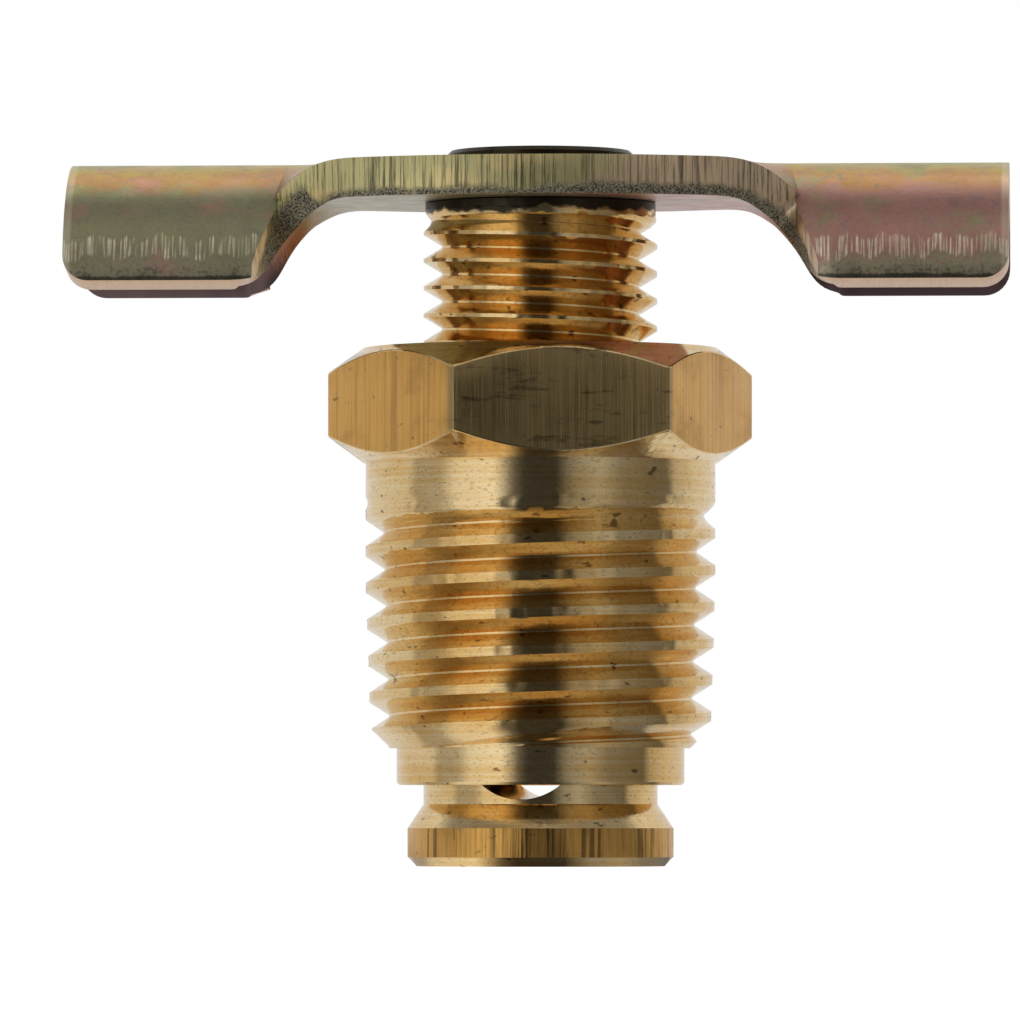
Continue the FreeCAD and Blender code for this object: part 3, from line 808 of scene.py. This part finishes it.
def carve(bm, cutter):
    """Cut one closed bmesh out of another."""
    objects = []
    for shape in (bm, cutter):
        mesh = bpy.data.meshes.new("carve")
        shape.to_mesh(mesh)
        objects.append(add_object("carve", mesh))
    block, tool = objects
    modifier = block.modifiers.new("cut", "BOOLEAN")
    modifier.operation = "DIFFERENCE"
    modifier.solver = "EXACT"
    modifier.object = tool
    bpy.context.view_layer.update()
    graph = bpy.context.evaluated_depsgraph_get()
    result = bpy.data.meshes.new_from_object(block.evaluated_get(graph))
    bm.clear()
    bm.from_mesh(result)
    for item in objects:
        mesh = item.data
        bpy.data.objects.remove(item)
        bpy.data.meshes.remove(mesh)
    bpy.data.meshes.remove(result)
    cutter.free()


def shape_hexagon(bm, sizes, hex_bottom, hex_top):
    """Move the two outer loops of the turned blank out to the hexagon and its chamfer curves."""
    face_radius = sizes.hex_face / 2
    slope = math.tan(sizes.hex_chamfer)
    middle = (hex_bottom + hex_top) / 2
    side = FULL_TURN / 6
    for vert in bm.verts:
        if radius_of(vert.co) < face_radius + SAME_PLACE:
            continue
        turn = math.atan2(vert.co.y, vert.co.x)
        off_flat = (turn % side) - side / 2
        radius = sizes.hex_across_flats / 2 / math.cos(off_flat)
        drop = (radius - face_radius) * slope
        height = hex_top - drop if vert.co.z > middle else hex_bottom + drop
        vert.co = (radius * math.cos(turn), radius * math.sin(turn), height)


def bevel(bm, geometry, width, segments, affect="EDGES"):
    """Round a set of edges, or of vertices."""
    bmesh.ops.bevel(
        bm,
        geom=geometry,
        offset=width,
        affect=affect,
        segments=segments,
        profile=0.5,
        material=-1,
        clamp_overlap=True,
    )


def build_valve_body(sizes, settings):
    """Model the body: a turned and hexagonal shell, closed by the helix of the pipe thread."""
    bottom = BODY_LOW.z
    hex_top = BODY_HIGH.z
    hex_bottom = hex_top - sizes.hex_height
    neck_start = hex_bottom - sizes.neck_length
    thread_start = bottom + sizes.pilot_length
    joint = neck_start + sizes.hex_edge
    bore = sizes.bore / 2
    neck = sizes.neck / 2
    pilot = sizes.pilot / 2
    face = sizes.hex_face / 2
    corner = sizes.hex_across_flats / math.sqrt(3)
    edge = sizes.pilot_edge
    bm = bmesh.new()
    spin_profile(
        bm,
        (
            (neck, joint),
            (neck, hex_bottom),
            (face, hex_bottom),
            (corner, hex_bottom + edge),
            (corner, hex_top - edge),
            (face, hex_top),
            (bore + sizes.countersink, hex_top),
            (bore, hex_top - sizes.countersink),
            (bore, bottom + sizes.seat_height),
            (bore + sizes.seat, bottom),
            (pilot - edge, bottom),
            (pilot, bottom + edge),
            (pilot, thread_start),
        ),
        settings.around,
    )
    shape_hexagon(bm, sizes, hex_bottom, hex_top)
    outer = face + SAME_RADIUS
    upright = sizes.hex_height / 4
    rim = [item for item in bm.edges if all(radius_of(vert.co) > outer for vert in item.verts)]
    corners = [item for item in rim if abs(item.verts[0].co.z - item.verts[1].co.z) > upright]
    corners = [item for item in corners if radius_of(item.verts[0].co) > corner - SAME_RADIUS]
    loops = [item for item in rim if abs(item.verts[0].co.z - item.verts[1].co.z) < upright]
    bevel(bm, corners + loops, sizes.hex_edge, settings.bevel_segments)

    crest_small = neck - sizes.thread_taper_run * PIPE_TAPER
    root_small = crest_small - sizes.thread_depth
    entry_low = root_small - ENTRY_DROP

    def pipe_surface(height, share):
        along = height - thread_start
        crest = min(crest_small + max(along - sizes.thread_entry, 0.0) * PIPE_TAPER, neck)
        root = root_small + along * PIPE_TAPER
        root += (crest - root) * clamped((height - neck_start) / sizes.thread_runout + 1.0)
        entry = entry_low + along * (sizes.thread_depth / sizes.thread_entry)
        return min(root + (crest - root) * share, max(entry, entry_low))

    wind_thread(bm, sizes, thread_start, neck_start, 1, settings.around, pipe_surface)
    bridge_open_loops(bm, thread_start, thread_start)
    bridge_open_loops(bm, neck_start, joint)
    bmesh.ops.rotate(bm, verts=bm.verts, cent=(0, 0, 0), matrix=turn_about_axis(sizes.hex_turn))
    paint_faces(bm, 1, lambda item: on_bar_side(item, sizes.hex_across_flats / 2))
    return bm


def build_stem(sizes, settings):
    """Model the stem: turned disc, cone and tenon, a left-hand helix, and the drilled holes."""
    bottom = STEM_LOW.z
    top = STEM_HIGH.z
    disc = sizes.disc / 2
    shank = sizes.shank / 2
    collar = sizes.collar / 2
    tenon = sizes.tenon / 2
    rim = sizes.rim / 2
    drain = sizes.drain_bore / 2
    thread_top = sizes.shoulder - sizes.collar_height
    rim_bottom = top - sizes.rim_height
    bore_end = sizes.cross_hole_height
    bm = bmesh.new()
    spin_profile(
        bm,
        (
            (0.0, bottom),
            (disc - sizes.disc_chamfer, bottom),
            (disc, bottom + sizes.disc_chamfer),
            (disc, bottom + sizes.disc_height),
            (shank, bottom + sizes.disc_height + sizes.cone_height),
            (shank, sizes.thread_low - SEAM),
        ),
        settings.around,
    )
    spin_profile(
        bm,
        (
            (collar, thread_top + SEAM),
            (collar, sizes.shoulder),
            (tenon, sizes.shoulder),
            (tenon, rim_bottom),
            (rim, rim_bottom),
            (rim, top - sizes.rim_round),
            (rim - sizes.rim_round, top),
            (drain + sizes.rim_flare, top),
            (drain, top - sizes.rim_flare),
            (drain, bore_end),
            (0.0, bore_end - drain / math.tan(sizes.drill_point / 2)),
        ),
        settings.around,
    )

    def stem_surface(height, share):
        low_fade = clamped(1.0 - (height - sizes.thread_low) / sizes.thread_runout)
        high_fade = clamped((height - thread_top) / sizes.thread_runout + 1.0)
        crest = shank + (collar - shank) * high_fade
        root = shank - sizes.thread_depth
        root += (crest - root) * max(low_fade, high_fade)
        return root + (crest - root) * share

    wind_thread(bm, sizes, sizes.thread_low, thread_top, -1, settings.around, stem_surface)
    bridge_open_loops(bm, sizes.thread_low - SEAM, sizes.thread_low)
    bridge_open_loops(bm, thread_top, thread_top + SEAM)
    bmesh.ops.recalc_face_normals(bm, faces=bm.faces)

    drill = round_bar(sizes.cross_hole, sizes.disc * 2, settings.drill_around)
    for matrix in (Matrix.Rotation(math.pi / 2, 3, "X"), turn_about_axis(sizes.cross_hole_turn)):
        bmesh.ops.rotate(drill, verts=drill.verts, cent=(0, 0, 0), matrix=matrix)
    bmesh.ops.translate(drill, verts=drill.verts, vec=(0, 0, sizes.cross_hole_height))
    carve(bm, drill)
    paint_faces(bm, 1, lambda item: on_bar_side(item, disc))
    return bm


def cut_lines(bm, direction, places):
    """Cut every face along upright planes across a direction."""
    for place in places:
        slice_mesh(bm, direction * place, direction)


def strip_half_width(sizes, along):
    """Give half the flat sheet's width at a distance from the axis: round boss, narrow waist, wing."""
    rise = math.sqrt(max(sizes.boss_radius ** 2 - along ** 2, 0.0))
    boss = rise - sizes.boss_radius + sizes.strip_width / 2
    step = clamped((abs(along) - sizes.flare_start) / sizes.flare_run)
    eased = 1 - (1 - step) ** FLARE_EASE
    waist = sizes.waist / 2
    inner = (boss + waist + math.hypot(boss - waist, sizes.waist_blend)) / 2
    return inner + (sizes.strip_width / 2 - inner) * eased ** 2 * (3 - 2 * eased)


def squeeze(bm, sizes, back=False):
    """Narrow a straight strip to the sheet's outline, or widen the outline back to the strip."""
    for vert in bm.verts:
        share = strip_half_width(sizes, vert.co.x) / (sizes.strip_width / 2)
        vert.co.y *= 1 / share if back else share


def sheet_middle(sizes, along, aside):
    """Give the place on the curled sheet's middle surface of a place on the flat sheet."""
    step = clamped((abs(along) - sizes.bend_start) / sizes.bend_run)
    bend = sizes.bend_angle * math.sin(math.pi / 2 * step ** 2) ** 2
    if bend < STRAIGHT:
        return Vector((along, aside, 0.0))
    curl = strip_half_width(sizes, along) - sizes.leg
    radius = curl / bend
    arc = min(abs(aside), curl)
    leg = abs(aside) - arc
    turn = arc / radius
    across = radius * math.sin(turn) + leg * math.cos(turn)
    down = radius * (1 - math.cos(turn)) + leg * math.sin(turn)
    return Vector((along, math.copysign(across, aside), -down))


def curled(sizes, point):
    """Carry a point of the flat sheet to the curled one, keeping its distance from the middle surface."""
    along = sheet_middle(sizes, point.x + NEARBY, point.y) - sheet_middle(sizes, point.x - NEARBY, point.y)
    across = sheet_middle(sizes, point.x, point.y + NEARBY) - sheet_middle(sizes, point.x, point.y - NEARBY)
    normal = along.cross(across).normalized()
    return sheet_middle(sizes, point.x, point.y) + normal * point.z


def blank_sheet(sizes, settings, half_span):
    """Blank the flat sheet: a strip with round corners, squeezed to the boss, waists and wings."""
    half_width = sizes.strip_width / 2
    bm = bmesh.new()
    signs = ((-1, -1), (1, -1), (1, 1), (-1, 1))
    ends = [(half_span * x, half_width * y, sizes.thickness / 2) for x, y in signs]
    strip = bm.faces.new([bm.verts.new(end) for end in ends])
    bevel(bm, strip.verts[:], sizes.corner, settings.corner_segments, "VERTICES")
    steps = math.ceil(half_span / sizes.grid)
    even = [half_span * step / steps for step in range(1 - steps, steps)]
    start = sizes.flare_start - sizes.waist_blend
    end = sizes.flare_start + sizes.flare_run + sizes.grid
    fine_steps = math.ceil((end - start) / sizes.fine_grid)
    fine = [start + (end - start) * step / fine_steps for step in range(fine_steps + 1)]
    coarse = [place for place in even if not start - sizes.fine_grid < abs(place) < end + sizes.fine_grid]
    cut_lines(bm, Vector((1, 0, 0)), sorted(coarse + fine + [-place for place in fine]))
    squeeze(bm, sizes)
    raised = bmesh.ops.extrude_face_region(bm, geom=bm.faces[:], use_keep_orig=True)
    lowered = [item for item in raised["geom"] if isinstance(item, bmesh.types.BMVert)]
    bmesh.ops.translate(bm, verts=lowered, vec=(0, 0, -sizes.thickness))
    bmesh.ops.recalc_face_normals(bm, faces=bm.faces)
    return bm


def sharp_edges(bm, side):
    """Find the sharp edges on the upper (1) or lower (-1) side of the flat sheet."""
    sharp = [item for item in bm.edges if item.calc_face_angle(0) > SHARP]
    return [item for item in sharp if all(vert.co.z * side > 0 for vert in item.verts)]


def build_wing_handle(sizes, settings):
    """Model the handle as it is made: blank a sheet, pierce it, round its edges and press its wings."""
    bm = blank_sheet(sizes, settings, HANDLE_HIGH.x)
    carve(bm, round_bar(sizes.hole, sizes.thickness * 3, settings.around))
    bevel(bm, sharp_edges(bm, 1), sizes.rollover, settings.bevel_segments)
    bevel(bm, sharp_edges(bm, -1), sizes.burr_edge, settings.bevel_segments)
    paint_faces(bm, 1, lambda item: abs(item.normal.z) < CUT_EDGE)

    # Cuts along the straightened strip run beside the sheet's outline
    squeeze(bm, sizes, back=True)
    side_steps = math.floor((sizes.strip_width / 2 - sizes.rollover * 2) / sizes.grid)
    cut_lines(bm, Vector((0, 1, 0)), [sizes.grid * step for step in range(-side_steps, side_steps + 1)])
    squeeze(bm, sizes)

    depth_layer = bm.verts.layers.float.new(SHEET_DEPTH)
    for vert in bm.verts:
        vert[depth_layer] = 0.5 - vert.co.z / sizes.thickness
        vert.co = curled(sizes, vert.co)
    bmesh.ops.translate(bm, verts=bm.verts, vec=(0, 0, HANDLE_HIGH.z - sizes.thickness / 2))
    return bm


class DRAINCOCK_OT_valve_body(Operator):
    """Model the brass body with its hexagon and pipe thread"""

    bl_idname = "drain_cock.valve_body"
    bl_label = "Valve Body"

    def execute(self, context):
        scene = context.scene
        sizes = scene.drain_cock_body
        bm = build_valve_body(sizes, scene.drain_cock_mesh)
        finishes = scene.drain_cock_finishes
        # The flat that faces the camera gets the painted dark reflection
        front = Vector((math.sin(sizes.hex_turn), -math.cos(sizes.hex_turn), 0.0))
        drawn = drawn_brass(finishes, "hexagon_brass", HEXAGON_LINES, (front, sizes.hex_across_flats / 2))
        piece = mesh_piece("valve_body_brass", bm, [turned_brass(finishes, "body_brass"), drawn])
        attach(piece, "valve_body")
        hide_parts("valve_body")
        return {"FINISHED"}


class DRAINCOCK_OT_stem(Operator):
    """Model the brass stem with its left-hand thread, which turns with the handle"""

    bl_idname = "drain_cock.stem"
    bl_label = "Stem"

    def execute(self, context):
        scene = context.scene
        sizes = scene.drain_cock_stem
        bm = build_stem(sizes, scene.drain_cock_mesh)
        finishes = scene.drain_cock_finishes
        # The stem's brass is painted near black just below the handle, as painted shade
        turned = turned_brass(finishes, "stem_brass", sizes.shoulder - sizes.shade_and_film)
        piece = mesh_piece("stem_brass", bm, [turned, drawn_brass(finishes, "disc_brass", DISC_LINES)])
        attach(piece, "wing_handle")
        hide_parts("stem")
        return {"FINISHED"}


class DRAINCOCK_OT_wing_handle(Operator):
    """Press the steel handle with its two curled wings"""

    bl_idname = "drain_cock.wing_handle"
    bl_label = "Wing Handle"

    def execute(self, context):
        scene = context.scene
        sizes = scene.drain_cock_handle
        bm = build_wing_handle(sizes, scene.drain_cock_mesh)
        finishes = scene.drain_cock_finishes
        materials = [chromate_zinc(finishes, sizes), sheared_edge(finishes, sizes)]
        piece = mesh_piece("wing_handle_steel", bm, materials)
        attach(piece, "wing_handle")
        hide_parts("wing_handle")
        return {"FINISHED"}


def place_camera(stage):
    """Stand the camera far off, near the height of the part's foot, framed as the photo is."""
    pixel = stage.view_width / PHOTO_PIXELS
    right = Vector((math.cos(stage.azimuth), math.sin(stage.azimuth), 0.0))
    away = Vector((math.sin(stage.azimuth), -math.cos(stage.azimuth), 0.0))
    centre = PHOTO_PIXELS / 2
    aim = right * (centre - stage.axis_pixel) * pixel + Vector((0, 0, (stage.foot_pixel - centre) * pixel))
    data = bpy.data.cameras.new("camera")
    camera = add_object("camera", data)
    camera.location = aim + away * stage.distance
    camera.location.z = stage.eye_height
    camera.rotation_euler = (aim - camera.location).to_track_quat("-Z", "Y").to_euler()
    reach = (aim - camera.location).length
    data.sensor_width = SENSOR_WIDTH
    data.lens = data.sensor_width * reach / stage.view_width
    data.clip_start = CLIP_START
    data.clip_end = CLIP_END
    bpy.context.scene.camera = camera


def add_softbox(name):
    """Hang a softbox that faces the part."""
    data = bpy.data.lights.new(name, "AREA")
    data.shape = "RECTANGLE"
    data.size, data.size_y = LAMP_SIZE
    data.energy = LAMP_POWER
    lamp = add_object(name, data)
    lamp.location = LAMP_PLACE
    lamp.rotation_euler = (LAMP_AIM - lamp.location).to_track_quat("-Z", "Y").to_euler()


def studio_walls(graph, place):
    """Give the light that the metal sees towards a place, by its bearing from the camera's side."""
    parts = graph.split(place)
    ahead = graph.product(parts["Y"], -1.0)
    bearing = graph.maths("ARCTAN2", parts["X"], ahead)
    sockets = {0: bearing, 1: 1 / FULL_TURN, 2: 0.5}
    around = graph.node("Math", sockets, operation="MULTIPLY_ADD")
    stops = [(0.5 + turn / 360, rgba([level] * 3)) for turn, level in STUDIO_LEVELS]
    return graph.ramp(around, stops)


def paint_world():
    """White to the camera, and to the metal a studio: bright on the left and behind, dark in front."""
    world = bpy.data.worlds.new("studio")
    bpy.context.scene.world = world
    graph = Graph(world)
    direction = graph.node("TexCoord", output="Generated")
    walls = studio_walls(graph, direction)
    parts = graph.split(direction)
    behind = graph.range(parts["Y"], *CEILING_BEHIND)
    before = graph.range(parts["Y"], *CEILING_BEFORE)
    ceiling = graph.maths("ADD", behind, before)
    room = graph.mix(graph.range(parts["Z"], *CEILING_FROM), walls, ceiling)
    rays = graph.node("LightPath", output="Is Camera Ray")
    seen = graph.mix(rays, room, WHITE)
    shader = graph.node("Background", {"Color": seen, "Strength": 1.0})
    graph.node("OutputWorld", {"Surface": shader})


def floor_material():
    """Pale floor that keeps a soft shadow, and in which the metal sees the walls go on."""
    material, graph, place = begin_material("studio_floor")
    shader = graph.node("BsdfPrincipled", {"Base Color": FLOOR_TINT, "Roughness": FLOOR_ROUGHNESS})
    glow = graph.node("Emission", {"Color": WHITE, "Strength": FLOOR_GLOW})
    pale = graph.node("AddShader", {0: shader, 1: glow})
    mirrored = graph.node("Emission", {"Color": studio_walls(graph, place)})
    rays = graph.node("LightPath", output="Is Glossy Ray")
    seen = graph.node("MixShader", {0: rays, 1: pale, 2: mirrored})
    graph.node("OutputMaterial", {"Surface": seen})
    return material


class DRAINCOCK_OT_stage(Operator):
    """Set up the floor, the light and the camera"""

    bl_idname = "drain_cock.stage"
    bl_label = "Stage"

    def execute(self, context):
        bm = bmesh.new()
        bmesh.ops.create_grid(bm, x_segments=1, y_segments=1, size=FLOOR_REACH)
        floor = mesh_piece("floor", bm, [floor_material()])
        floor.location.z = CAD_BOX[0][2]
        paint_world()
        add_softbox("softbox_top")
        place_camera(context.scene.drain_cock_stage)
        context.scene.view_settings.view_transform = "Standard"
        return {"FINISHED"}


class DRAINCOCK_PT_panel(Panel):
    """List the pieces of the drain cock"""

    bl_idname = "DRAINCOCK_PT_panel"
    bl_label = "Drain Cock"
    bl_space_type = "VIEW_3D"
    bl_region_type = "UI"
    bl_category = "Drain Cock"

    def draw(self, context):
        for operator in OPERATORS:
            self.layout.operator(operator.bl_idname)


OPERATORS = (
    DRAINCOCK_OT_valve_body,
    DRAINCOCK_OT_stem,
    DRAINCOCK_OT_wing_handle,
    DRAINCOCK_OT_stage,
)

SETTINGS = {
    "drain_cock_body": ValveBodySizes,
    "drain_cock_stem": StemSizes,
    "drain_cock_handle": HandleSizes,
    "drain_cock_mesh": MeshSettings,
    "drain_cock_finishes": Finishes,
    "drain_cock_stage": StageSettings,
}


def register():
    for item in (*SETTINGS.values(), *OPERATORS, DRAINCOCK_PT_panel):
        bpy.utils.register_class(item)
    for name, group in SETTINGS.items():
        setattr(bpy.types.Scene, name, PointerProperty(type=group))


def unregister():
    for name in SETTINGS:
        delattr(bpy.types.Scene, name)
    for item in (DRAINCOCK_PT_panel, *reversed(OPERATORS), *reversed(SETTINGS.values())):
        bpy.utils.unregister_class(item)


def main():
    register()
    bpy.ops.drain_cock.valve_body()
    bpy.ops.drain_cock.stem()
    bpy.ops.drain_cock.wing_handle()
    bpy.ops.drain_cock.stage()


if __name__ == "__main__":
    main()
